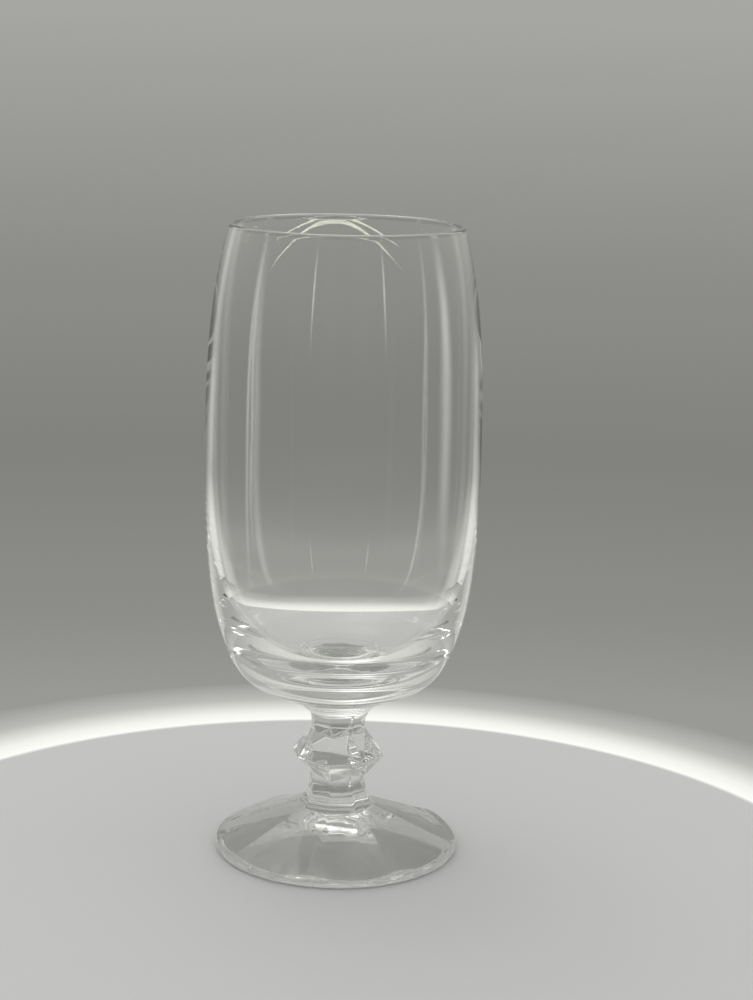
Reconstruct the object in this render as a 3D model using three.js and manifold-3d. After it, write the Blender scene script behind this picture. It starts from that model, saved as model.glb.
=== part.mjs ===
// Footed glass for iced drinks: a round bowl on an eight-sided stem with a faceted knop, on a round foot
// with eight panels. Millimetres, +Z up. The origin is the centre of the face that the glass stands on.

import * as THREE from "three";
import { mergeVertices } from "three/addons/utils/BufferGeometryUtils.js";
import Module from "manifold-3d";

// Foot, heights from the table
const FOOT_RADIUS = 32.1;
const FOOT_HEIGHT = 11.7;
const RIDGE_EDGE_HEIGHT = 3.2;
const FOOT_EDGE_ROUND = 2.7;
const FOOT_LOWER_ROUND = 1.2;
const RESTING_RING_WIDTH = 1.9;
const HOLLOW_DEPTH = 6.3;

// Stem, stacked heights from the foot up; radii reach to the corners of the octagon
const SHANK_BASE_RADIUS = 10.4;
const SHANK_RADIUS = 7.45;
const SHANK_HEIGHT = 8;
const SHANK_COVE_RISE = 3;
const KNOP_RADIUS = 12.4;
const KNOP_LOWER_HEIGHT = 6.3;
const KNOP_UPPER_HEIGHT = 5.7;
const KNOP_GIRDLE_HEIGHT = 0.5;
const KNOP_UNDERCUT_RADIUS = 8.8;
const KNOP_UNDERCUT_DROP = 2.3;
const LOWER_FACET_STEP = 1.6;
const UPPER_FACET_STEP = 1.1;
const NECK_RADIUS = 7.25;
const NECK_HEIGHT = 0.8;
const FLARE_RADIUS = 12.5;
const FLARE_HEIGHT = 7.4;
const FLARE_COVE_RISE = 4.6;

// Bowl, heights from its joint with the stem
const BOWL_HEIGHT = 124;
const UNDERSIDE_RADIUS = 21;
const UNDERSIDE_RISE = 3.8;
const HEEL_RADIUS = 30.8;
const HEEL_HEIGHT = 17;
const HEEL_LEAN = 0.35;
const BELLY_RADIUS = 35.5;
const BELLY_HEIGHT = 62.2;
const RIM_RADIUS = 29.8;
const LIP_LEAN = 0.28;
const RIM_WALL = 1.3;
const BELLY_WALL = 2.4;
const BASE_THICKNESS = 10.2;

// Lengths of the curve handles that shape the bowl
const UNDERSIDE_HANDLE = 4.9;
const HEEL_LOWER_HANDLE = 7.2;
const HEEL_UPPER_HANDLE = 8;
const BELLY_LOWER_HANDLE = 25;
const BELLY_UPPER_HANDLE = 26;
const LIP_HANDLE = 18;
const INNER_FLOOR_HANDLE = 19.8;
const INNER_WALL_HANDLE = 50.4;

// Fineness of the facets that stand for round surfaces
const SIDES = 8;
const ROUND_SEGMENTS = 64;
const PROFILE_STEP = 3.8;
const FEWEST_PROFILE_STEPS = 6;
const COVE_STEPS = 6;
const FLARE_STEPS = 7;
const FLARE_SIDE_STEPS = 6;

// Look of the clear glass
const GLASS_ROUGHNESS = 0.04;
const GLASS_OPACITY = 0.35;

const wasm = await Module();
wasm.setup();

function glassMaterial(colour) {
  return new THREE.MeshStandardMaterial({
    color: colour,
    roughness: GLASS_ROUGHNESS,
    metalness: 0,
    transparent: true,
    opacity: GLASS_OPACITY,
  });
}

// A solid of revolution about Z from a half profile of radius and height.
function turned(profile) {
  const points = [profile.curves[0].getPoint(0)];
  for (const curve of profile.curves) {
    const straight = curve instanceof THREE.LineCurve;
    const steps = Math.max(FEWEST_PROFILE_STEPS, Math.ceil(curve.getLength() / PROFILE_STEP));
    points.push(...curve.getPoints(straight ? 1 : steps).slice(1));
  }
  return new THREE.LatheGeometry(points, ROUND_SEGMENTS).rotateX(Math.PI / 2);
}

// Eight corners about Z. Even corners lie on the X and Y axes and odd corners lie between them.
// The crease across each facet above the ring starts at its even corners or at its odd ones.
function cornerRing(even, odd = even, creaseFrom = "even") {
  const points = Array.from({ length: SIDES }, (_, corner) => {
    const place = corner % 2 === 0 ? even : odd;
    const angle = (corner * 2 * Math.PI) / SIDES;
    return new THREE.Vector3(place.radius * Math.cos(angle), place.radius * Math.sin(angle), place.height);
  });
  return { points, sideSteps: 1, creaseFrom };
}

// A level ring between an octagon, at roundness 0, and the circle through its corners, at roundness 1.
function easedRing(radius, height, roundness) {
  const halfSide = Math.PI / SIDES;
  const points = Array.from({ length: SIDES * FLARE_SIDE_STEPS }, (_, index) => {
    const angle = (index * 2 * halfSide) / FLARE_SIDE_STEPS;
    const fromMidSide = (angle % (2 * halfSide)) - halfSide;
    const sideRadius = (radius * Math.cos(halfSide)) / Math.cos(fromMidSide);
    const reach = THREE.MathUtils.lerp(sideRadius, radius, roundness);
    return new THREE.Vector3(reach * Math.cos(angle), reach * Math.sin(angle), height);
  });
  return { points, sideSteps: FLARE_SIDE_STEPS, creaseFrom: "even" };
}

// A closed solid through rings, the lowest first, with flat ends.
// A ring of corners may meet a finer ring above it.
function lofted(rings) {
  const positions = [];
  const addTriangle = (...corners) => corners.forEach((corner) => positions.push(...corner.toArray()));
  const addBand = (low, high, creaseFromLeft) => {
    const lowEnd = low.length - 1;
    const highEnd = high.length - 1;
    if (lowEnd === highEnd && creaseFromLeft) {
      for (let step = 0; step < lowEnd; step += 1) {
        addTriangle(low[step], low[step + 1], high[step + 1]);
        addTriangle(low[step], high[step + 1], high[step]);
      }
    } else if (lowEnd === highEnd) {
      for (let step = 0; step < lowEnd; step += 1) {
        addTriangle(low[step], low[step + 1], high[step]);
        addTriangle(low[step + 1], high[step + 1], high[step]);
      }
    } else {
      addTriangle(low[0], low[lowEnd], high[highEnd]);
      for (let step = 0; step < highEnd; step += 1) {
        addTriangle(low[0], high[step + 1], high[step]);
      }
    }
  };
  const sideOf = ({ points, sideSteps }, side) =>
    Array.from({ length: sideSteps + 1 }, (_, step) => points[(side * sideSteps + step) % points.length]);
  for (let level = 0; level + 1 < rings.length; level += 1) {
    for (let side = 0; side < SIDES; side += 1) {
      const startsEven = side % 2 === 0;
      const creaseFromLeft = startsEven === (rings[level].creaseFrom === "even");
      addBand(sideOf(rings[level], side), sideOf(rings[level + 1], side), creaseFromLeft);
    }
  }
  const bottom = rings[0].points;
  for (let corner = 1; corner + 1 < bottom.length; corner += 1) {
    addTriangle(bottom[0], bottom[corner + 1], bottom[corner]);
  }
  const top = rings[rings.length - 1].points;
  for (let corner = 1; corner + 1 < top.length; corner += 1) {
    addTriangle(top[0], top[corner], top[corner + 1]);
  }
  const geometry = new THREE.BufferGeometry();
  geometry.setAttribute("position", new THREE.Float32BufferAttribute(positions, 3));
  return geometry;
}

function toSolid(geometry) {
  const bare = geometry.clone();
  bare.deleteAttribute("normal");
  bare.deleteAttribute("uv");
  const merged = mergeVertices(bare);
  return new wasm.Manifold(
    new wasm.Mesh({
      numProp: 3,
      vertProperties: merged.attributes.position.array,
      triVerts: new Uint32Array(merged.index.array),
    }),
  );
}

function toGeometry(solid) {
  const mesh = solid.getMesh();
  const geometry = new THREE.BufferGeometry();
  geometry.setAttribute("position", new THREE.BufferAttribute(mesh.vertProperties, 3));
  geometry.setIndex(new THREE.BufferAttribute(mesh.triVerts, 1));
  geometry.computeVertexNormals();
  return geometry;
}

// Fall of the ridges between the panels of the foot.
const ridgeSlope = (FOOT_HEIGHT - RIDGE_EDGE_HEIGHT) / (FOOT_RADIUS - SHANK_BASE_RADIUS);

// Round outline of the foot: domed hollow under it, resting ring and an edge that rounds over until it
// follows the ridges. Above the edge the blank is a steep cone that the panels cut off.
function footBlank() {
  const edgeRadius = FOOT_RADIUS - FOOT_EDGE_ROUND;
  const edgeTurn = Math.PI / 2 - Math.atan(ridgeSlope);
  const blankHeight = FOOT_HEIGHT + FOOT_RADIUS;
  const ringRadius = FOOT_RADIUS - FOOT_LOWER_ROUND;
  const hollowRadius = ringRadius - RESTING_RING_WIDTH;
  const profile = new THREE.Path();
  profile.moveTo(0, HOLLOW_DEPTH);
  profile.quadraticCurveTo(hollowRadius / 2, HOLLOW_DEPTH, hollowRadius, 0);
  profile.lineTo(ringRadius, 0);
  profile.absarc(ringRadius, FOOT_LOWER_ROUND, FOOT_LOWER_ROUND, -Math.PI / 2, 0);
  profile.absarc(edgeRadius, FOOT_LOWER_ROUND, FOOT_EDGE_ROUND, 0, edgeTurn);
  profile.lineTo(0, blankHeight);
  return turned(profile);
}

// Eight flat panels that fall from the stem to the edge and run out past it on every side.
function footPanels() {
  const panelRadius = (FOOT_RADIUS + FOOT_EDGE_ROUND) / Math.cos(Math.PI / SIDES);
  const panelEdgeHeight = RIDGE_EDGE_HEIGHT - ridgeSlope * (panelRadius - FOOT_RADIUS);
  const belowTable = Math.min(panelEdgeHeight, 0) - FOOT_EDGE_ROUND;
  return lofted([
    cornerRing({ radius: panelRadius, height: belowTable }),
    cornerRing({ radius: panelRadius, height: panelEdgeHeight }),
    cornerRing({ radius: SHANK_BASE_RADIUS, height: FOOT_HEIGHT }),
  ]);
}

function makeFoot() {
  const solid = toSolid(footBlank()).intersect(toSolid(footPanels()));
  const foot = new THREE.Mesh(toGeometry(solid), glassMaterial(0xe9efec));
  foot.name = "foot";
  return foot;
}

const knopFoot = SHANK_HEIGHT;
const knopGirdle = knopFoot + KNOP_LOWER_HEIGHT;
const knopTop = knopGirdle + KNOP_UPPER_HEIGHT;
const neckLevel = knopTop + UPPER_FACET_STEP + NECK_HEIGHT;
const stemHeight = neckLevel + FLARE_HEIGHT;

// Concave sweep of the shank from the foot up to the knop.
function shankRings() {
  const cove = new THREE.QuadraticBezierCurve(
    new THREE.Vector2(SHANK_BASE_RADIUS, 0),
    new THREE.Vector2(SHANK_RADIUS, SHANK_COVE_RISE),
    new THREE.Vector2(SHANK_RADIUS, SHANK_HEIGHT),
  );
  return cove
    .getPoints(COVE_STEPS)
    .slice(0, -1)
    .map((point) => cornerRing({ radius: point.x, height: point.y }));
}

// Cut facets of the knop: the odd corners start and end higher than the even ones and are undercut below
// the girdle.
function knopRings() {
  const girdle = { radius: KNOP_RADIUS, height: knopGirdle };
  return [
    cornerRing(
      { radius: SHANK_RADIUS, height: knopFoot },
      { radius: SHANK_RADIUS, height: knopFoot + LOWER_FACET_STEP },
    ),
    cornerRing(
      { radius: KNOP_RADIUS, height: knopGirdle - KNOP_GIRDLE_HEIGHT },
      { radius: KNOP_UNDERCUT_RADIUS, height: knopGirdle - KNOP_UNDERCUT_DROP },
    ),
    cornerRing(girdle, girdle, "odd"),
    cornerRing(
      { radius: NECK_RADIUS, height: knopTop },
      { radius: NECK_RADIUS, height: knopTop + UPPER_FACET_STEP },
    ),
  ];
}

// Concave sweep from the eight-sided neck out to the round flat top that carries the bowl.
function flareRings() {
  const cove = new THREE.QuadraticBezierCurve(
    new THREE.Vector2(NECK_RADIUS, 0),
    new THREE.Vector2(NECK_RADIUS, FLARE_COVE_RISE),
    new THREE.Vector2(FLARE_RADIUS, FLARE_HEIGHT),
  );
  return cove.getPoints(FLARE_STEPS).map((point, step) => {
    const roundness = (step / FLARE_STEPS) ** 2;
    return easedRing(point.x, neckLevel + point.y, roundness);
  });
}

function makeStem() {
  const geometry = lofted([...shankRings(), ...knopRings(), ...flareRings()]);
  const stem = new THREE.Mesh(geometry, glassMaterial(0xe6edea));
  stem.name = "stem";
  stem.position.z = FOOT_HEIGHT;
  return stem;
}

// Half profile of the bowl: up the outside from the joint, over the rounded lip and down the inside to
// the axis.
function bowlProfile() {
  const undersideSlope = UNDERSIDE_RISE / (UNDERSIDE_RADIUS - FLARE_RADIUS);
  const lipRound = RIM_WALL / 2;
  const lipBase = BOWL_HEIGHT - lipRound;
  const innerBelly = BELLY_RADIUS - BELLY_WALL;
  const innerRim = RIM_RADIUS - RIM_WALL;
  const profile = new THREE.Path();
  profile.moveTo(0, 0);
  profile.lineTo(FLARE_RADIUS, 0);
  profile.lineTo(UNDERSIDE_RADIUS, UNDERSIDE_RISE);
  profile.bezierCurveTo(
    UNDERSIDE_RADIUS + UNDERSIDE_HANDLE,
    UNDERSIDE_RISE + UNDERSIDE_HANDLE * undersideSlope,
    HEEL_RADIUS - HEEL_LOWER_HANDLE * HEEL_LEAN,
    HEEL_HEIGHT - HEEL_LOWER_HANDLE,
    HEEL_RADIUS,
    HEEL_HEIGHT,
  );
  profile.bezierCurveTo(
    HEEL_RADIUS + HEEL_UPPER_HANDLE * HEEL_LEAN,
    HEEL_HEIGHT + HEEL_UPPER_HANDLE,
    BELLY_RADIUS,
    BELLY_HEIGHT - BELLY_LOWER_HANDLE,
    BELLY_RADIUS,
    BELLY_HEIGHT,
  );
  profile.bezierCurveTo(
    BELLY_RADIUS,
    BELLY_HEIGHT + BELLY_UPPER_HANDLE,
    RIM_RADIUS + LIP_HANDLE * LIP_LEAN,
    lipBase - LIP_HANDLE,
    RIM_RADIUS,
    lipBase,
  );
  profile.absarc(RIM_RADIUS - lipRound, lipBase, lipRound, 0, Math.PI);
  profile.bezierCurveTo(
    innerRim + LIP_HANDLE * LIP_LEAN,
    lipBase - LIP_HANDLE,
    innerBelly,
    BELLY_HEIGHT + BELLY_UPPER_HANDLE,
    innerBelly,
    BELLY_HEIGHT,
  );
  profile.bezierCurveTo(
    innerBelly,
    BELLY_HEIGHT - INNER_WALL_HANDLE,
    INNER_FLOOR_HANDLE,
    BASE_THICKNESS,
    0,
    BASE_THICKNESS,
  );
  return profile;
}

function makeBowl() {
  const bowl = new THREE.Mesh(turned(bowlProfile()), glassMaterial(0xeef3f1));
  bowl.name = "bowl";
  bowl.position.z = FOOT_HEIGHT + stemHeight;
  return bowl;
}

const glass = new THREE.Group();
glass.name = "iced_beverage_glass";
glass.add(makeFoot(), makeStem(), makeBowl());

export default glass;
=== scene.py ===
# Footed glass for iced drinks: clear bowl, faceted stem and panelled foot on a plain pale floor.
# Lengths of the glass are written in millimetres and turned into metres where the meshes are made.

import math

import bpy
import numpy as np
from mathutils import Matrix, Vector


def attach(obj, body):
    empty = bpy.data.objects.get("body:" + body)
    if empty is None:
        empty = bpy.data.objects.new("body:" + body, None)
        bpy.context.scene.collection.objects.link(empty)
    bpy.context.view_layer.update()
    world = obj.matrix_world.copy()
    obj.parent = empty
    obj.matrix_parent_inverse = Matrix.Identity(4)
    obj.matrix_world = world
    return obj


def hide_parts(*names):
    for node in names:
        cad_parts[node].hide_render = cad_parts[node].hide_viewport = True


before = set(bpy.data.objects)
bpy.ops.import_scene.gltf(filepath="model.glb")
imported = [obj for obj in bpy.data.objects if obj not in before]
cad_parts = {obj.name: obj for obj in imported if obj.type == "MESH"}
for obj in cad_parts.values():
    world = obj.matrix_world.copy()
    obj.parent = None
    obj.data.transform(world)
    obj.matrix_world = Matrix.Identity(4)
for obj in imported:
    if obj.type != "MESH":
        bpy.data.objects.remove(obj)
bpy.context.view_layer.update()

MM = 0.001

# Foot
FOOT_RADIUS = 32.1
FOOT_HEIGHT = 11.7
RIDGE_EDGE_HEIGHT = 3.2
FOOT_EDGE_ROUND = 2.7
FOOT_LOWER_ROUND = 1.2
RESTING_RING_WIDTH = 1.9
HOLLOW_DEPTH = 6.3

# Stem, stacked heights from the foot up; radii reach to the corners of the octagon
SIDES = 8
SHANK_BASE_RADIUS = 10.4
SHANK_RADIUS = 7.45
SHANK_HEIGHT = 8.0
SHANK_COVE_RISE = 3.0
KNOP_RADIUS = 12.4
KNOP_LOWER_HEIGHT = 6.3
KNOP_UPPER_HEIGHT = 5.7
KNOP_GIRDLE_HEIGHT = 0.5
KNOP_UNDERCUT_RADIUS = 8.8
KNOP_UNDERCUT_DROP = 2.3
LOWER_FACET_STEP = 1.6
UPPER_FACET_STEP = 1.1
NECK_RADIUS = 7.25
NECK_HEIGHT = 0.8
FLARE_RADIUS = 12.5
FLARE_HEIGHT = 7.4
FLARE_COVE_RISE = 4.6

# Bowl, heights from its joint with the stem
BOWL_HEIGHT = 124.0
UNDERSIDE_RADIUS = 21.0
UNDERSIDE_RISE = 3.8
HEEL_RADIUS = 30.8
HEEL_HEIGHT = 17.0
HEEL_LEAN = 0.35
BELLY_RADIUS = 35.5
BELLY_HEIGHT = 62.2
RIM_RADIUS = 29.8
LIP_LEAN = 0.28
RIM_WALL = 1.3
BELLY_WALL = 2.4
BASE_THICKNESS = 10.2

# Lengths of the curve handles that shape the bowl
UNDERSIDE_HANDLE = 4.9
HEEL_LOWER_HANDLE = 7.2
HEEL_UPPER_HANDLE = 8.0
BELLY_LOWER_HANDLE = 25.0
BELLY_UPPER_HANDLE = 26.0
LIP_HANDLE = 18.0
INNER_FLOOR_HANDLE = 19.8
INNER_WALL_HANDLE = 50.4

# Softness of the pressed edges
CORNER_SOFTNESS = 0.3
FACET_SOFTENING_PASSES = 2
SOFTENING_FADE_LEVELS = 6

# Slight unevenness of blown and pressed glass: its depth, and how many waves run round the axis
BOWL_UNEVENNESS = 0.03
STEM_UNEVENNESS = 0.03
FOOT_UNEVENNESS = 0.10
BOWL_WAVES = 2
STEM_WAVES = 5
FOOT_PANEL_WAVES = 3
FOOT_EDGE_WAVES = 11
EDGE_WAVE_FADE = 4

# Each wave's share of the unevenness, its starting angle, and the half turns it makes along one pitch
WAVE_SHAPES = ((0.5, 2.1, 2.0), (0.3, 0.4, -3.1), (0.2, 4.0, 4.7))

# Fineness of the meshes
SEGMENTS = 256
UNDERSIDE_STEPS = 8
HEEL_STEPS = 36
BELLY_STEPS = 60
SHOULDER_STEPS = 56
LIP_STEPS = 10
INNER_FLOOR_STEPS = 120
STEM_LEVELS = 220
COVE_STEPS = 200
FACET_TOLERANCE = 1e-6
PANEL_STEPS = 40
PANEL_CROWDING = 1.5
EDGE_STEPS = 12
EDGE_SEARCH_POINTS = 400
LOWER_EDGE_STEPS = 8
RESTING_RING_STEPS = 6
HOLLOW_STEPS = 48

# Sizes that follow from those above
HALF_SIDE = math.pi / SIDES
KNOP_FOOT = SHANK_HEIGHT
KNOP_GIRDLE = KNOP_FOOT + KNOP_LOWER_HEIGHT
KNOP_TOP = KNOP_GIRDLE + KNOP_UPPER_HEIGHT
NECK_LEVEL = KNOP_TOP + UPPER_FACET_STEP + NECK_HEIGHT
STEM_HEIGHT = NECK_LEVEL + FLARE_HEIGHT
BOWL_BASE = FOOT_HEIGHT + STEM_HEIGHT
LIP_ROUND = RIM_WALL / 2
LIP_BASE = BOWL_HEIGHT - LIP_ROUND
PANEL_SLOPE = (FOOT_HEIGHT - RIDGE_EDGE_HEIGHT) / (FOOT_RADIUS - SHANK_BASE_RADIUS)
EDGE_CENTRE = FOOT_RADIUS - FOOT_EDGE_ROUND

ANGLES = np.arange(SEGMENTS) * (2 * math.pi / SEGMENTS)


# Curves


def bezier(points, steps):
    """Points along a curve of any degree from its control points, both ends among them."""
    share = np.linspace(0.0, 1.0, steps + 1)[:, None]
    layer = [np.array(point, float)[None, :] for point in points]
    while len(layer) > 1:
        layer = [low * (1 - share) + high * share for low, high in zip(layer, layer[1:])]
    return layer[0]


def arc(centre, radius, start, end, steps):
    """Points along a circular arc between two angles."""
    turn = np.linspace(start, end, steps + 1)
    return np.stack([centre[0] + radius * np.cos(turn), centre[1] + radius * np.sin(turn)], 1)


def corner_reach(angle, radius):
    """Reach of an octagon's corner over its side at an angle, with corners softened by a set length."""
    from_corner = np.abs((angle + HALF_SIDE) % (2 * HALF_SIDE) - HALF_SIDE)
    eased = np.sqrt(from_corner**2 + (CORNER_SOFTNESS / radius) ** 2)
    eased = np.minimum(eased, HALF_SIDE)
    return np.cos(eased) + math.tan(HALF_SIDE) * np.sin(eased)


def unevenness(turns, pitch, along):
    """Smooth waves between -1 and 1 round the axis and along it: turns waves round, pitch apart along."""
    counts = (turns, turns + 2, 2 * turns + 1)
    climb = along * math.pi / pitch
    waves = np.zeros(SEGMENTS)
    for count, (share, start, half_turns) in zip(counts, WAVE_SHAPES):
        waves += share * np.sin(count * ANGLES + start + half_turns * climb)
    return waves


# Meshes


def place_object(name, data):
    """A new object in the scene."""
    placed = bpy.data.objects.new(name, data)
    bpy.context.collection.objects.link(placed)
    return placed


def ring(radius, height):
    """A ring of points from radii and heights that may change with the angle."""
    radius = np.broadcast_to(radius, ANGLES.shape)
    height = np.broadcast_to(height, ANGLES.shape)
    return np.stack([radius * np.cos(ANGLES), radius * np.sin(ANGLES), height], 1)


def closed_piece(name, rings, start, end, seams):
    """A closed piece through rings of points, each end shut by a fan about its own centre point.

    seams names the ends, first or last, that meet another piece of hot-joined glass.
    """
    levels = len(rings)
    points = np.concatenate([*rings, [start], [end]]) * MM
    first_centre = levels * SEGMENTS
    faces = []
    for level in range(levels - 1):
        low = level * SEGMENTS
        high = low + SEGMENTS
        for step in range(SEGMENTS):
            after = (step + 1) % SEGMENTS
            faces.append((low + step, low + after, high + after, high + step))
    sides = len(faces)
    top = (levels - 1) * SEGMENTS
    for step in range(SEGMENTS):
        faces.append((first_centre, (step + 1) % SEGMENTS, step))
    for step in range(SEGMENTS):
        faces.append((first_centre + 1, top + step, top + (step + 1) % SEGMENTS))
    mesh = bpy.data.meshes.new(name)
    mesh.from_pydata([tuple(point) for point in points], [], faces)
    mesh.validate()
    seam_of = np.zeros(len(faces), int)
    for end_name, begin in (("first", sides), ("last", sides + SEGMENTS)):
        if end_name in seams:
            seam_of[begin : begin + SEGMENTS] = 1
    mesh.polygons.foreach_set("material_index", seam_of)
    mesh.polygons.foreach_set("use_smooth", seam_of == 0)
    return place_object(name, mesh)


# Bowl


def bowl_outside():
    """Outline of the bowl from its joint with the stem up to the lip."""
    slope = UNDERSIDE_RISE / (UNDERSIDE_RADIUS - FLARE_RADIUS)
    underside = bezier([(FLARE_RADIUS, 0), (UNDERSIDE_RADIUS, UNDERSIDE_RISE)], UNDERSIDE_STEPS)
    heel = bezier(
        [
            (UNDERSIDE_RADIUS, UNDERSIDE_RISE),
            (UNDERSIDE_RADIUS + UNDERSIDE_HANDLE, UNDERSIDE_RISE + UNDERSIDE_HANDLE * slope),
            (HEEL_RADIUS - HEEL_LOWER_HANDLE * HEEL_LEAN, HEEL_HEIGHT - HEEL_LOWER_HANDLE),
            (HEEL_RADIUS, HEEL_HEIGHT),
        ],
        HEEL_STEPS,
    )
    belly = bezier(
        [
            (HEEL_RADIUS, HEEL_HEIGHT),
            (HEEL_RADIUS + HEEL_UPPER_HANDLE * HEEL_LEAN, HEEL_HEIGHT + HEEL_UPPER_HANDLE),
            (BELLY_RADIUS, BELLY_HEIGHT - BELLY_LOWER_HANDLE),
            (BELLY_RADIUS, BELLY_HEIGHT),
        ],
        BELLY_STEPS,
    )
    side = bezier(
        [
            (BELLY_RADIUS, BELLY_HEIGHT),
            (BELLY_RADIUS, BELLY_HEIGHT + BELLY_UPPER_HANDLE),
            (RIM_RADIUS + LIP_HANDLE * LIP_LEAN, LIP_BASE - LIP_HANDLE),
            (RIM_RADIUS, LIP_BASE),
        ],
        SHOULDER_STEPS,
    )
    return np.concatenate([underside, heel[1:], belly[1:], side[1:]])


def bowl_inside():
    """Outline of the hollow from the lip down to the middle of its floor."""
    rim = RIM_RADIUS - RIM_WALL
    belly = BELLY_RADIUS - BELLY_WALL
    side = bezier(
        [
            (rim, LIP_BASE),
            (rim + LIP_HANDLE * LIP_LEAN, LIP_BASE - LIP_HANDLE),
            (belly, BELLY_HEIGHT + BELLY_UPPER_HANDLE),
            (belly, BELLY_HEIGHT),
        ],
        SHOULDER_STEPS,
    )
    floor = bezier(
        [
            (belly, BELLY_HEIGHT),
            (belly, BELLY_HEIGHT - INNER_WALL_HANDLE),
            (INNER_FLOOR_HANDLE, BASE_THICKNESS),
            (0, BASE_THICKNESS),
        ],
        INNER_FLOOR_STEPS,
    )
    return np.concatenate([side[1:], floor[1:-1]])


def make_bowl():
    """Blown bowl with faint waves in its inner wall, which fade out at the lip and the floor's middle."""
    lip = arc((RIM_RADIUS - LIP_ROUND, LIP_BASE), LIP_ROUND, 0, math.pi, LIP_STEPS)
    outside = np.concatenate([bowl_outside(), lip[1:]])
    rings = [ring(radius, height + BOWL_BASE) for radius, height in outside]
    for radius, height in bowl_inside():
        fade = math.sin(math.pi * min(1.0, (LIP_BASE - height) / BELLY_HEIGHT) / 2)
        fade *= min(1.0, radius / FLARE_RADIUS)
        uneven = BOWL_UNEVENNESS * fade * unevenness(BOWL_WAVES, BELLY_HEIGHT, height)
        rings.append(ring(radius + uneven, height + BOWL_BASE))
    return closed_piece(
        "clear_bowl", rings, (0, 0, BOWL_BASE), (0, 0, BOWL_BASE + BASE_THICKNESS), ("first",)
    )


# Stem


def cove_radius(heights, controls):
    """Radius and share of the way up a curved sweep at each height."""
    curve = bezier(controls, COVE_STEPS)
    share = np.linspace(0.0, 1.0, len(curve))
    return np.interp(heights, curve[:, 1], curve[:, 0]), np.interp(heights, curve[:, 1], share)


def knop_facets():
    """Triangles of the knop between an even corner, on the X axis, and the odd corner next to it."""

    def even(radius, height):
        return np.array([radius, 0.0, height])

    def odd(radius, height):
        return np.array([radius * math.cos(2 * HALF_SIDE), radius * math.sin(2 * HALF_SIDE), height])

    foot_even = even(SHANK_RADIUS, KNOP_FOOT)
    foot_odd = odd(SHANK_RADIUS, KNOP_FOOT + LOWER_FACET_STEP)
    lower_even = even(KNOP_RADIUS, KNOP_GIRDLE - KNOP_GIRDLE_HEIGHT)
    undercut_odd = odd(KNOP_UNDERCUT_RADIUS, KNOP_GIRDLE - KNOP_UNDERCUT_DROP)
    girdle_even = even(KNOP_RADIUS, KNOP_GIRDLE)
    girdle_odd = odd(KNOP_RADIUS, KNOP_GIRDLE)
    top_even = even(NECK_RADIUS, KNOP_TOP)
    top_odd = odd(NECK_RADIUS, KNOP_TOP + UPPER_FACET_STEP)
    return [
        (foot_even, foot_odd, undercut_odd),
        (foot_even, undercut_odd, lower_even),
        (lower_even, undercut_odd, girdle_odd),
        (lower_even, girdle_odd, girdle_even),
        (girdle_even, girdle_odd, top_even),
        (girdle_odd, top_odd, top_even),
    ]


def sweep_radii(heights):
    """Radius of the shank and of the flare, which eases from eight sides to a round collar."""
    shank, _ = cove_radius(
        heights,
        [(SHANK_BASE_RADIUS, 0), (SHANK_RADIUS, SHANK_COVE_RISE), (SHANK_RADIUS, SHANK_HEIGHT)],
    )
    flare, share = cove_radius(
        heights,
        [
            (NECK_RADIUS, NECK_LEVEL),
            (NECK_RADIUS, NECK_LEVEL + FLARE_COVE_RISE),
            (FLARE_RADIUS, NECK_LEVEL + FLARE_HEIGHT),
        ],
    )
    level = np.where(heights < KNOP_GIRDLE, shank, flare)[:, None]
    roundness = (share**2)[:, None]
    side = level / corner_reach(ANGLES[None, :], level)
    return side * (1 - roundness) + level * roundness


def stem_radii(heights):
    """Radius of the stem at every height and angle, before its edges are softened."""
    radii = sweep_radii(heights)

    # Every sector of the knop mirrors the one between the first even corner and the first odd one.
    sector = np.abs((ANGLES + 2 * HALF_SIDE) % (4 * HALF_SIDE) - 2 * HALF_SIDE)
    toward = np.stack([np.cos(sector), np.sin(sector), np.zeros_like(sector)], 1)[None, :, :]
    from_axis = np.zeros((len(heights), 1, 3))
    from_axis[:, 0, 2] = heights
    for first, second, third in knop_facets():
        normal = np.cross(second - first, third - first)
        reach = ((first - from_axis) @ normal) / (toward @ normal)
        point = from_axis + toward * reach[..., None]
        inside = reach > 0
        for start, end in ((first, second), (second, third), (third, first)):
            inside &= (np.cross(end - start, point - start) @ normal) >= -FACET_TOLERANCE
        radii = np.where(inside, reach, radii)
    return radii


def soften(radii, heights):
    """Rounds the facet edges a little, adds faint waves, and leaves the two end rings as they are."""
    soft = radii
    for _ in range(FACET_SOFTENING_PASSES):
        soft = (np.roll(soft, 1, 1) + 2 * soft + np.roll(soft, -1, 1)) / 4
        inner = (soft[:-2] + 2 * soft[1:-1] + soft[2:]) / 4
        soft = np.concatenate([soft[:1], inner, soft[-1:]])
    waves = np.stack([unevenness(STEM_WAVES, KNOP_RADIUS, height) for height in heights])
    soft = soft - STEM_UNEVENNESS * (1 + waves) / 2
    level = np.arange(len(radii))
    from_end = np.minimum(level, level[::-1])
    share = np.clip(from_end / SOFTENING_FADE_LEVELS, 0.0, 1.0)[:, None]
    return radii * (1 - share) + soft * share


def make_stem():
    """Solid eight-sided stem: shank, faceted knop, neck and flare."""
    heights = np.linspace(0.0, STEM_HEIGHT, STEM_LEVELS + 1)
    radii = soften(stem_radii(heights), heights)
    rings = [ring(radius, height + FOOT_HEIGHT) for radius, height in zip(radii, heights)]
    return closed_piece(
        "faceted_stem", rings, (0, 0, FOOT_HEIGHT), (0, 0, BOWL_BASE), ("first", "last")
    )


# Foot


def panel_height(radius):
    """Height of the sloping panels at a radius, for every angle."""
    return FOOT_HEIGHT - PANEL_SLOPE * (radius * corner_reach(ANGLES, radius) - SHANK_BASE_RADIUS)


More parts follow.
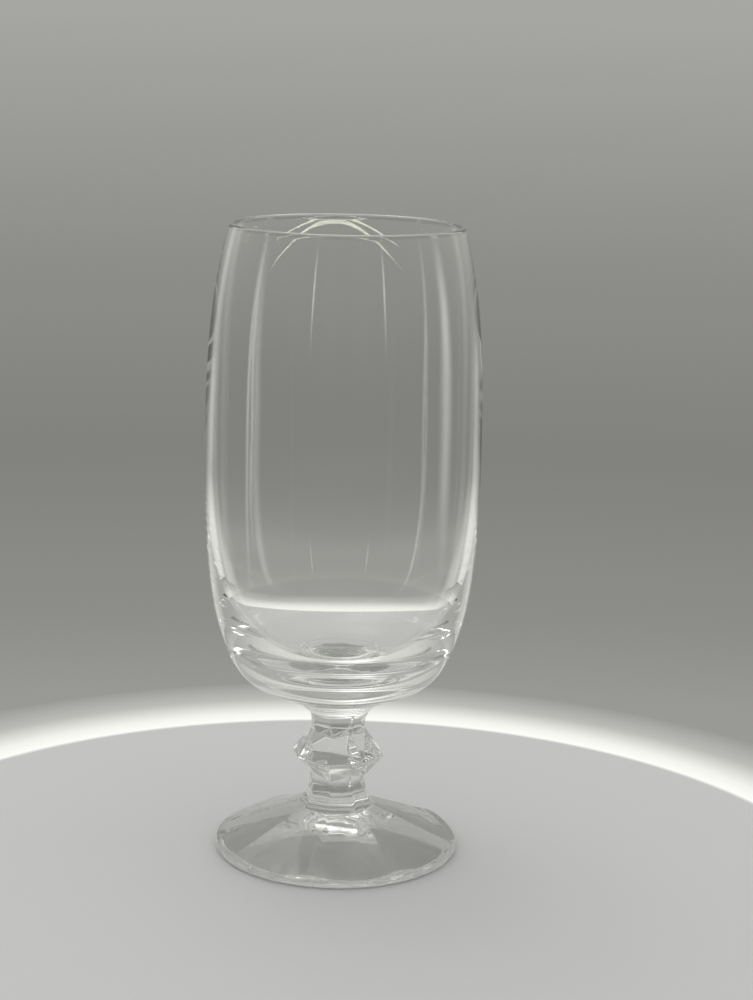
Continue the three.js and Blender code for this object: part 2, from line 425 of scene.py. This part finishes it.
def edge_point(turn):
    """Radius and height on the rounded edge of the foot, at an angle of that round."""
    radius = EDGE_CENTRE + FOOT_EDGE_ROUND * np.cos(turn)
    height = FOOT_LOWER_ROUND + FOOT_EDGE_ROUND * np.sin(turn)
    return radius, height


def panel_ends():
    """Angle of the rounded edge at which the panels run into it."""
    turns = np.linspace(0.0, math.pi / 2 - math.atan(PANEL_SLOPE), EDGE_SEARCH_POINTS)[:, None]
    radius, height = edge_point(turns)
    below = height < panel_height(radius)
    return turns[below.sum(0) - 1, 0]


def foot_underside():
    """Outline from the widest line of the foot, under its edge, to the middle of the hollow."""
    ring_radius = FOOT_RADIUS - FOOT_LOWER_ROUND
    hollow_radius = ring_radius - RESTING_RING_WIDTH
    lower = arc((ring_radius, FOOT_LOWER_ROUND), FOOT_LOWER_ROUND, 0, -math.pi / 2, LOWER_EDGE_STEPS)
    flat = bezier([(ring_radius, 0), (hollow_radius, 0)], RESTING_RING_STEPS)
    hollow = bezier(
        [(hollow_radius, 0), (hollow_radius / 2, HOLLOW_DEPTH), (0, HOLLOW_DEPTH)], HOLLOW_STEPS
    )
    return np.concatenate([lower[1:], flat[1:], hollow[1:-1]])


def make_foot():
    """Round foot with flat panels and a faintly wavy rounded edge over a domed hollow."""
    meet = panel_ends()
    meet_radius, _ = edge_point(meet)
    inner_radius = SHANK_BASE_RADIUS / corner_reach(ANGLES, SHANK_BASE_RADIUS)
    edge_waves = FOOT_UNEVENNESS * (1 + unevenness(FOOT_EDGE_WAVES, FOOT_RADIUS, 0.0)) / 2
    rings = [ring(inner_radius, FOOT_HEIGHT)]
    for share in 1 - (1 - np.linspace(0.0, 1.0, PANEL_STEPS + 1)[1:]) ** PANEL_CROWDING:
        radius = inner_radius + (meet_radius - inner_radius) * share
        waves = 1 + unevenness(FOOT_PANEL_WAVES, FOOT_RADIUS, share * FOOT_RADIUS)
        dip = FOOT_UNEVENNESS * share * (1 - share) * waves
        rings.append(ring(radius - edge_waves * share**EDGE_WAVE_FADE, panel_height(radius) - dip))
    for share in np.linspace(0.0, 1.0, EDGE_STEPS + 1)[1:]:
        radius, height = edge_point(meet * (1 - share))
        rings.append(ring(radius - edge_waves * (1 - share), height))
    for radius, height in foot_underside():
        rings.append(ring(radius, height))
    rings.reverse()
    return closed_piece(
        "panelled_foot", rings, (0, 0, HOLLOW_DEPTH), (0, 0, FOOT_HEIGHT), ("last",)
    )


# Materials of the glass

GLASS_IOR = 1.52
BLOWN_TINT = (0.985, 0.99, 0.98)
PRESSED_TINT = (0.98, 0.988, 0.978)
SMEAR_DETAIL = 4
SMEAR_START = 0.45
SMEAR_FULL = 0.8


def new_material(name):
    """A material with its nodes and links."""
    material = bpy.data.materials.new(name)
    material.use_nodes = True
    return material, material.node_tree.nodes, material.node_tree.links


def glass_material(name, tint, smear_scale, most_roughness):
    """Clear glass with faint smears from handling, which dull the polish a little in places."""
    material, nodes, links = new_material(name)
    shader = nodes["Principled BSDF"]
    shader.inputs["Base Color"].default_value = (*tint, 1)
    shader.inputs["Transmission Weight"].default_value = 1.0
    shader.inputs["IOR"].default_value = GLASS_IOR

    place = nodes.new("ShaderNodeTexCoord")
    smear = nodes.new("ShaderNodeTexNoise")
    smear.inputs["Scale"].default_value = smear_scale
    smear.inputs["Detail"].default_value = SMEAR_DETAIL
    links.new(place.outputs["Object"], smear.inputs["Vector"])
    polish = nodes.new("ShaderNodeMapRange")
    polish.inputs["From Min"].default_value = SMEAR_START
    polish.inputs["From Max"].default_value = SMEAR_FULL
    polish.inputs["To Min"].default_value = 0.0
    polish.inputs["To Max"].default_value = most_roughness
    links.new(smear.outputs["Fac"], polish.inputs["Value"])
    links.new(polish.outputs["Result"], shader.inputs["Roughness"])
    return material


def seam_material():
    """Fused joint inside the glass, which light crosses without a change."""
    material, nodes, links = new_material("fused_joint")
    nodes.remove(nodes["Principled BSDF"])
    clear = nodes.new("ShaderNodeBsdfTransparent")
    links.new(clear.outputs["BSDF"], nodes["Material Output"].inputs["Surface"])
    return material


# Each piece's maker, node, slot, glass, tint, smears to the metre, and roughness where it is most smeared
PIECES = (
    (make_bowl, "bowl", "bowl_glass", "blown_glass", BLOWN_TINT, 60, 0.03),
    (make_stem, "stem", "stem_glass", "faceted_glass", PRESSED_TINT, 140, 0.02),
    (make_foot, "foot", "foot_glass", "panelled_glass", PRESSED_TINT, 90, 0.02),
)

joint = seam_material()
for make, node, slot, glass, tint, smear_scale, most_roughness in PIECES:
    piece = make()
    piece.data.materials.append(glass_material(glass, tint, smear_scale, most_roughness))
    piece.data.materials.append(joint)
    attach(piece, "root")
    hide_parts(node)


# Camera: distance and height in metres, turns fitted to the glass, lens and sensor in millimetres

CAMERA_DISTANCE = 0.5548
CAMERA_HEIGHT = 0.2156
CAMERA_TURN = math.radians(12.7)
CAMERA_PITCH = math.radians(12.35)
CAMERA_YAW = math.radians(0.91)
CAMERA_ROLL = math.radians(1.29)
CAMERA_LENS = 79.2
CAMERA_SENSOR = 36.0
CAMERA_CLIP = 0.01


def make_camera():
    """Camera a little above the rim that looks down at the glass."""
    camera = place_object("camera", bpy.data.cameras.new("camera"))
    camera.data.lens = CAMERA_LENS
    camera.data.sensor_width = CAMERA_SENSOR
    camera.data.clip_start = CAMERA_CLIP
    ahead = Vector(
        (
            math.sin(CAMERA_YAW) * math.cos(CAMERA_PITCH),
            math.cos(CAMERA_YAW) * math.cos(CAMERA_PITCH),
            -math.sin(CAMERA_PITCH),
        )
    )
    level = Vector((math.cos(CAMERA_YAW), -math.sin(CAMERA_YAW), 0))
    rise = level.cross(ahead)
    right = math.cos(CAMERA_ROLL) * level + math.sin(CAMERA_ROLL) * rise
    up = math.cos(CAMERA_ROLL) * rise - math.sin(CAMERA_ROLL) * level
    place = Matrix.Translation((0, -CAMERA_DISTANCE, CAMERA_HEIGHT))
    turned = Matrix((right, up, -ahead)).transposed().to_4x4()
    camera.matrix_world = Matrix.Rotation(CAMERA_TURN, 4, "Z") @ place @ turned
    bpy.context.scene.camera = camera


def direction(azimuth, elevation):
    """Unit vector from the axis. Azimuth is counted in degrees from the camera's side, to its right."""
    turn = math.radians(azimuth) + CAMERA_TURN
    rise = math.radians(elevation)
    return Vector((math.sin(turn) * math.cos(rise), -math.cos(turn) * math.cos(rise), math.sin(rise)))


# Nodes that the floor, backdrop and lamps share

# Blue of the pale tones against their red and green
WARMTH = 0.95

# Share of the backdrop in the light that the floor gets through the glass
LIGHT_UNDER_GLASS = 0.35


def combine(nodes, links, operation, first, second):
    """Output of a math node that takes two others."""
    node = nodes.new("ShaderNodeMath")
    node.operation = operation
    links.new(first, node.inputs[0])
    links.new(second, node.inputs[1])
    return node.outputs["Value"]


def mix_shaders(nodes, links, share, first, second):
    """Output of a mix that is all the first shader at share 0 and all the second at share 1."""
    mix = nodes.new("ShaderNodeMixShader")
    links.new(share, mix.inputs["Fac"])
    links.new(first, mix.inputs[1])
    links.new(second, mix.inputs[2])
    return mix.outputs["Shader"]


def tone_ramp(nodes, stops):
    """A ramp of pale tones from positions between 0 and 1."""
    ramp = nodes.new("ShaderNodeValToRGB")
    elements = ramp.color_ramp.elements
    while len(elements) < len(stops):
        elements.new(0.5)
    for element, (position, tone) in zip(elements, stops):
        element.position = position
        element.color = (tone, tone, tone * WARMTH, 1)
    return ramp


def seen_directly(nodes, links):
    """1 for what the camera, reflections and glass see, and 0 for light that only falls on surfaces.

    Light that reaches the floor through the glass lies between the two.
    """
    path = nodes.new("ShaderNodeLightPath")
    seen = path.outputs["Is Camera Ray"]
    for kind in ("Is Glossy Ray", "Is Transmission Ray"):
        seen = combine(nodes, links, "MAXIMUM", seen, path.outputs[kind])
    softened = nodes.new("ShaderNodeMapRange")
    softened.inputs["To Min"].default_value = 1.0
    softened.inputs["To Max"].default_value = LIGHT_UNDER_GLASS
    links.new(path.outputs["Diffuse Depth"], softened.inputs["Value"])
    return combine(nodes, links, "MULTIPLY", seen, softened.outputs["Result"])


# Floor, in metres: a disc that is shifted a little towards the camera

FLOOR_RADIUS = 0.175
FLOOR_DROP = 0.00015
FLOOR_SHIFT = 0.03
FLOOR_SEGMENTS = 192
FLOOR_COLOUR = (0.68, 0.68, 0.665)
FLOOR_ROUGHNESS = 0.8

# Brightness of the floor's glow at each radius
GLOW_START = 0.135
FLOOR_GLOW = ((0.137, 1.0), (0.144, 0.9), (0.158, 0.5), (FLOOR_RADIUS, 0.33))


def floor_material():
    """Pale matt floor that glows towards its rim, where it runs into the backdrop."""
    material, nodes, links = new_material("pale_floor")
    matt = nodes["Principled BSDF"]
    matt.inputs["Base Color"].default_value = (*FLOOR_COLOUR, 1)
    matt.inputs["Roughness"].default_value = FLOOR_ROUGHNESS
    place = nodes.new("ShaderNodeTexCoord")
    reach = nodes.new("ShaderNodeVectorMath")
    reach.operation = "LENGTH"
    links.new(place.outputs["Object"], reach.inputs[0])
    share = nodes.new("ShaderNodeMapRange")
    share.inputs["From Max"].default_value = FLOOR_RADIUS
    links.new(reach.outputs["Value"], share.inputs["Value"])
    ramp = tone_ramp(nodes, [(radius / FLOOR_RADIUS, tone) for radius, tone in FLOOR_GLOW])
    links.new(share.outputs["Result"], ramp.inputs["Fac"])
    glow = nodes.new("ShaderNodeEmission")
    links.new(ramp.outputs["Color"], glow.inputs["Color"])
    outer = nodes.new("ShaderNodeMapRange")
    outer.inputs["From Min"].default_value = GLOW_START
    outer.inputs["From Max"].default_value = FLOOR_GLOW[0][0]
    links.new(reach.outputs["Value"], outer.inputs["Value"])
    shown = combine(nodes, links, "MULTIPLY", outer.outputs["Result"], seen_directly(nodes, links))
    surface = mix_shaders(nodes, links, shown, matt.outputs["BSDF"], glow.outputs["Emission"])
    links.new(surface, nodes["Material Output"].inputs["Surface"])
    return material


def make_floor():
    """Round floor just under the foot."""
    points = [(0, 0, -FLOOR_DROP)]
    for step in range(FLOOR_SEGMENTS):
        turn = 2 * math.pi * step / FLOOR_SEGMENTS
        points.append((FLOOR_RADIUS * math.cos(turn), FLOOR_RADIUS * math.sin(turn), -FLOOR_DROP))
    faces = [(0, 1 + step, 1 + (step + 1) % FLOOR_SEGMENTS) for step in range(FLOOR_SEGMENTS)]
    mesh = bpy.data.meshes.new("floor")
    mesh.from_pydata(points, [], faces)
    mesh.materials.append(floor_material())
    floor = place_object("floor", mesh)
    floor.location = (FLOOR_SHIFT * math.sin(CAMERA_TURN), -FLOOR_SHIFT * math.cos(CAMERA_TURN), 0)


# Backdrop and soft light from all round

SOFT_LIGHT = 0.72

# Brightness of the backdrop at each elevation, in degrees
BACKDROP = (
    (-90, 0.32),
    (-17.5, 0.32),
    (-15.5, 0.27),
    (-11, 0.22),
    (-6, 0.27),
    (0, 0.38),
    (12, 0.42),
    (20, 0.38),
    (36, 0.38),
    (50, 0.60),
    (90, 0.75),
)

# White spots on the backdrop, in degrees
SIDE_GLOW_AZIMUTHS = (-151, 151)
SIDE_GLOW_ELEVATION = -23
SIDE_GLOW_REACH = 15


def side_glows(nodes, links, place):
    """Share of white in the backdrop: two soft spots behind the glass, to its left and right."""
    spots = []
    for azimuth in SIDE_GLOW_AZIMUTHS:
        toward = nodes.new("ShaderNodeVectorMath")
        toward.operation = "DOT_PRODUCT"
        toward.inputs[1].default_value = direction(azimuth, SIDE_GLOW_ELEVATION)
        links.new(place.outputs["Generated"], toward.inputs[0])
        spot = nodes.new("ShaderNodeMapRange")
        spot.interpolation_type = "SMOOTHSTEP"
        spot.inputs["From Min"].default_value = math.cos(math.radians(SIDE_GLOW_REACH))
        links.new(toward.outputs["Value"], spot.inputs["Value"])
        spots.append(spot.outputs["Result"])
    return combine(nodes, links, "MAXIMUM", *spots)


def make_world():
    """Grey backdrop that the camera and the glass see, and even soft light that falls on surfaces."""
    world = bpy.data.worlds.new("studio")
    bpy.context.scene.world = world
    world.use_nodes = True
    nodes = world.node_tree.nodes
    links = world.node_tree.links
    soft = nodes["Background"]
    soft.inputs["Color"].default_value = (1.0, 1.0, 1.0, 1)
    soft.inputs["Strength"].default_value = SOFT_LIGHT
    place = nodes.new("ShaderNodeTexCoord")
    split = nodes.new("ShaderNodeSeparateXYZ")
    links.new(place.outputs["Generated"], split.inputs["Vector"])
    height = nodes.new("ShaderNodeMapRange")
    height.inputs["From Min"].default_value = -1
    links.new(split.outputs["Z"], height.inputs["Value"])
    stops = [((1 + math.sin(math.radians(elevation))) / 2, tone) for elevation, tone in BACKDROP]
    ramp = tone_ramp(nodes, stops)
    links.new(height.outputs["Result"], ramp.inputs["Fac"])
    grey = nodes.new("ShaderNodeBackground")
    links.new(ramp.outputs["Color"], grey.inputs["Color"])
    white = nodes.new("ShaderNodeBackground")
    white.inputs["Color"].default_value = (1.0, 1.0, WARMTH, 1)
    spots = side_glows(nodes, links, place)
    backdrop = mix_shaders(nodes, links, spots, grey.outputs["Background"], white.outputs["Background"])
    seen = seen_directly(nodes, links)
    surround = mix_shaders(nodes, links, seen, soft.outputs["Background"], backdrop)
    links.new(surround, nodes["World Output"].inputs["Surface"])


# Soft boxes that face the bowl: name, azimuth, elevation, distance, width, length and brightness

LAMP_AIM = 0.1
LAMP_MIDDLE = 0.5
LAMPS = (
    ("left_strip", -83, 0, 0.6, 0.06, 0.62, 3.5),
    ("right_strip", 92, 0, 0.6, 0.15, 0.55, 2.5),
    ("left_window", -28, 14, 0.75, 0.025, 0.36, 4.2),
    ("right_window", 33, 14, 0.75, 0.025, 0.38, 4.2),
    ("back_panel", -138, 5, 0.7, 0.25, 0.5, 0.4),
    ("key", -150, 66, 0.8, 0.75, 0.75, 1.8),
)


def soft_edges(light):
    """Fades a lamp from the middle to its edges, as the cloth of a soft box does."""
    light.use_nodes = True
    nodes = light.node_tree.nodes
    links = light.node_tree.links
    place = nodes.new("ShaderNodeTexCoord")
    split = nodes.new("ShaderNodeSeparateXYZ")
    links.new(place.outputs["UV"], split.inputs["Vector"])
    fades = []
    for axis in ("X", "Y"):
        away = nodes.new("ShaderNodeMath")
        away.operation = "PINGPONG"
        away.inputs[1].default_value = LAMP_MIDDLE
        links.new(split.outputs[axis], away.inputs[0])
        rise = nodes.new("ShaderNodeMapRange")
        rise.interpolation_type = "SMOOTHSTEP"
        rise.inputs["From Max"].default_value = LAMP_MIDDLE
        links.new(away.outputs["Value"], rise.inputs["Value"])
        fades.append(rise.outputs["Result"])
    links.new(combine(nodes, links, "MULTIPLY", *fades), nodes["Emission"].inputs["Strength"])


def make_lamp(name, azimuth, elevation, distance, width, length, brightness):
    """A soft box that faces the bowl."""
    light = bpy.data.lights.new(name, "AREA")
    light.shape = "RECTANGLE"
    light.size = width
    light.size_y = length
    light.energy = brightness * math.pi * width * length
    soft_edges(light)
    lamp = place_object(name, light)
    lamp.visible_camera = False
    away = direction(azimuth, elevation)
    lamp.location = Vector((0, 0, LAMP_AIM)) + away * distance
    lamp.rotation_euler = away.to_track_quat("Z", "Y").to_euler()


# Thin strip of light before the glass: part of a circle that tilts towards a point on the axis

LINE_CENTRE = (-0.034, 0.23)
LINE_RADIUS = 0.428
LINE_START = -121
LINE_END = -36
LINE_WIDTH = 0.03
LINE_HEIGHT = 0.002
LINE_FOCUS = 0.12
LINE_STEPS = 48
LINE_BRIGHTNESS = 13.0
LINE_COLOUR = (1.0, 1.0, 0.78)


def line_material():
    """Light on the upper side only; the lower side is clear."""
    material, nodes, links = new_material("light_line")
    glow = nodes.new("ShaderNodeEmission")
    glow.inputs["Color"].default_value = (*LINE_COLOUR, 1)
    glow.inputs["Strength"].default_value = LINE_BRIGHTNESS
    under = nodes.new("ShaderNodeBsdfTransparent")
    side = nodes.new("ShaderNodeNewGeometry")
    back = side.outputs["Backfacing"]
    surface = mix_shaders(nodes, links, back, glow.outputs["Emission"], under.outputs["BSDF"])
    links.new(surface, nodes["Material Output"].inputs["Surface"])
    return material


def make_light_line():
    """A thin strip of light before the glass, lit on the side that only the upper half of the bowl sees."""
    focus = Vector((0, 0, LINE_FOCUS))
    points = []
    for share in np.linspace(0.0, 1.0, LINE_STEPS + 1):
        turn = math.radians(LINE_START + (LINE_END - LINE_START) * share)
        across = LINE_CENTRE[0] + LINE_RADIUS * math.cos(turn)
        away = LINE_CENTRE[1] + LINE_RADIUS * math.sin(turn)
        outer = Vector((across, away, LINE_HEIGHT))
        width = LINE_WIDTH * math.sqrt(max(0.0, math.sin(math.pi * share)))
        points.append(outer)
        points.append(outer + (focus - outer).normalized() * width)
    faces = [(2 * step, 2 * step + 2, 2 * step + 3, 2 * step + 1) for step in range(LINE_STEPS)]
    mesh = bpy.data.meshes.new("light_line")
    mesh.from_pydata(points, [], faces)
    mesh.materials.append(line_material())
    line = place_object("light_line", mesh)
    line.rotation_euler = (0, 0, CAMERA_TURN)
    line.visible_camera = False
    line.visible_diffuse = False
    line.visible_shadow = False


make_camera()
make_floor()
make_world()
for lamp in LAMPS:
    make_lamp(*lamp)
make_light_line()

# Light crosses many surfaces inside solid glass before it leaves.
GLASS_BOUNCES = 64
scene = bpy.context.scene
scene.cycles.max_bounces = GLASS_BOUNCES
scene.cycles.glossy_bounces = GLASS_BOUNCES
scene.cycles.transmission_bounces = GLASS_BOUNCES
scene.cycles.transparent_max_bounces = GLASS_BOUNCES
scene.view_settings.view_transform = "Standard"
